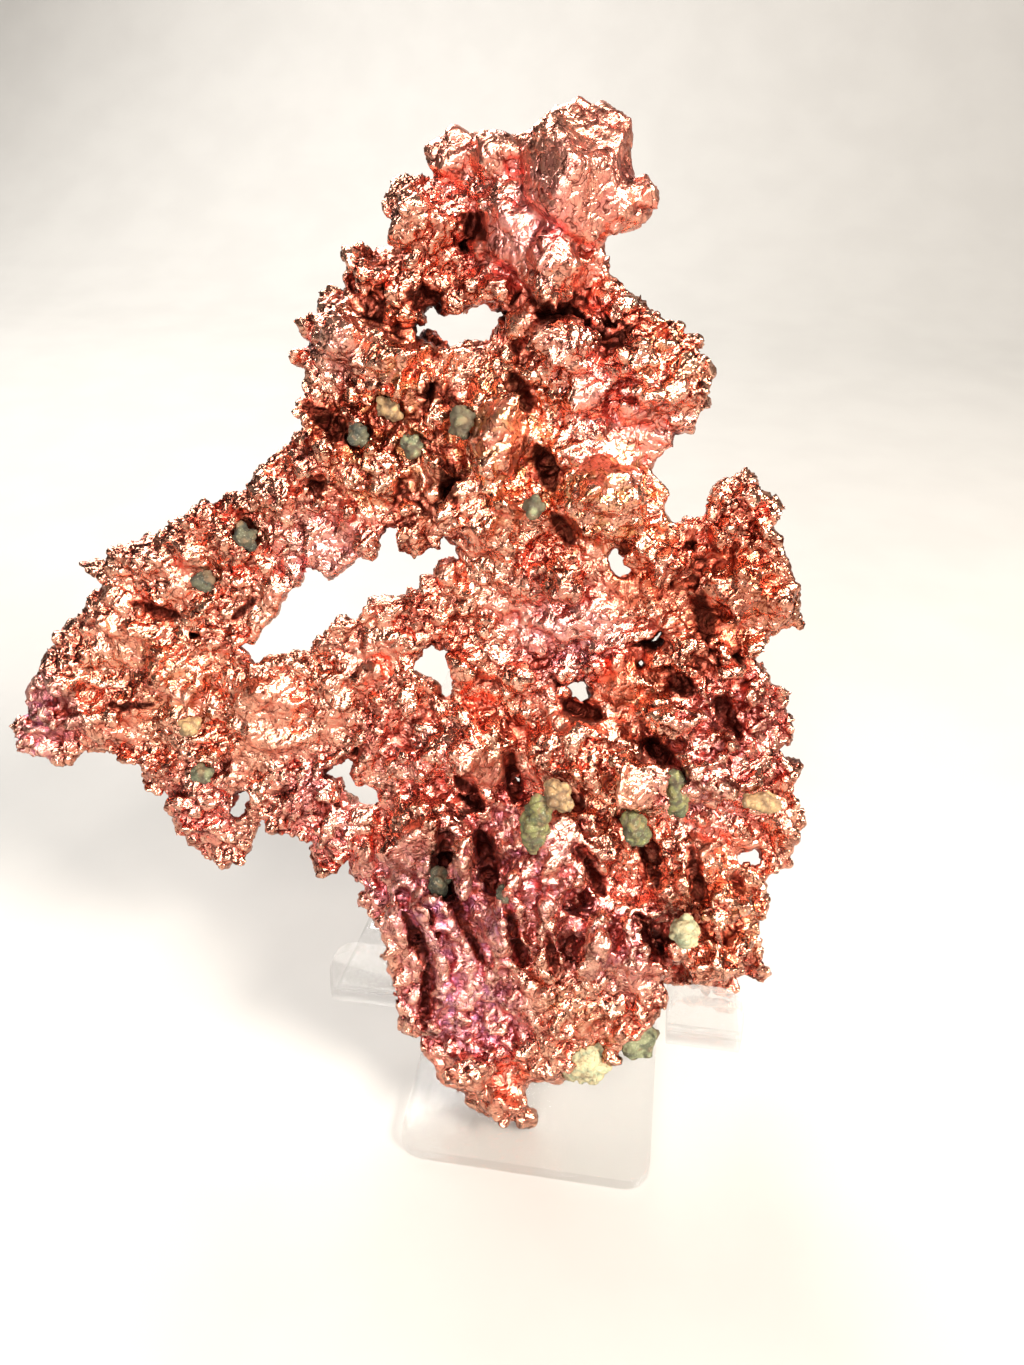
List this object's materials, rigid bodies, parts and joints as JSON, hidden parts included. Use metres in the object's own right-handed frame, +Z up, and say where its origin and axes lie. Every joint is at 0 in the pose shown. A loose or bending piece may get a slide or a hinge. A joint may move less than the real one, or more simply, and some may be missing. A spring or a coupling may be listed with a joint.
{
  "type": "native copper specimen on an easel",
  "caption": "Hackly branching mass of native copper with open gaps and small stone pebbles in its pockets, standing upright on a clear bent easel.",
  "frame": {"origin": "middle of the easel foot's underside, on the table", "axes": "+X to the viewer's right along the specimen, +Y away from the viewer, +Z up"},
  "size_m": [0.1247, 0.0524, 0.1487],
  "materials": {
    "copper": "natural metallic lustre, tarnished salmon to purple",
    "pale_stone": "dull, fine grained",
    "green_stone": "dull, fine grained",
    "olive_stone": "dull, mossy",
    "tan_stone": "dull, fine grained",
    "dark_stone": "dull",
    "clear_acrylic": "clear polished sheet"
  },
  "bodies": {
    "root": {"copper_crown": "copper", "copper_shoulder": "copper", "copper_trunk": "copper", "copper_left_arm": "copper", "copper_left_wing": "copper", "copper_right_tower": "copper", "copper_base": "copper", "matrix_cream": "pale_stone", "matrix_grey_green": "green_stone", "matrix_moss": "olive_stone", "matrix_tan": "tan_stone", "matrix_olive": "olive_stone", "matrix_olive_right": "olive_stone", "matrix_beige": "tan_stone", "matrix_pale_green": "pale_stone", "matrix_dark_left": "dark_stone", "matrix_dark_low": "dark_stone", "matrix_shoulder_beige": "tan_stone", "matrix_shoulder_green": "green_stone", "matrix_shoulder_dark": "dark_stone", "matrix_trunk_green": "green_stone", "matrix_trunk_small": "green_stone", "matrix_arm_dark": "dark_stone", "matrix_arm_low": "dark_stone", "matrix_wing_grey": "green_stone", "matrix_wing_pale": "tan_stone", "display_stand": "clear_acrylic"}
  },
  "joints": []
}
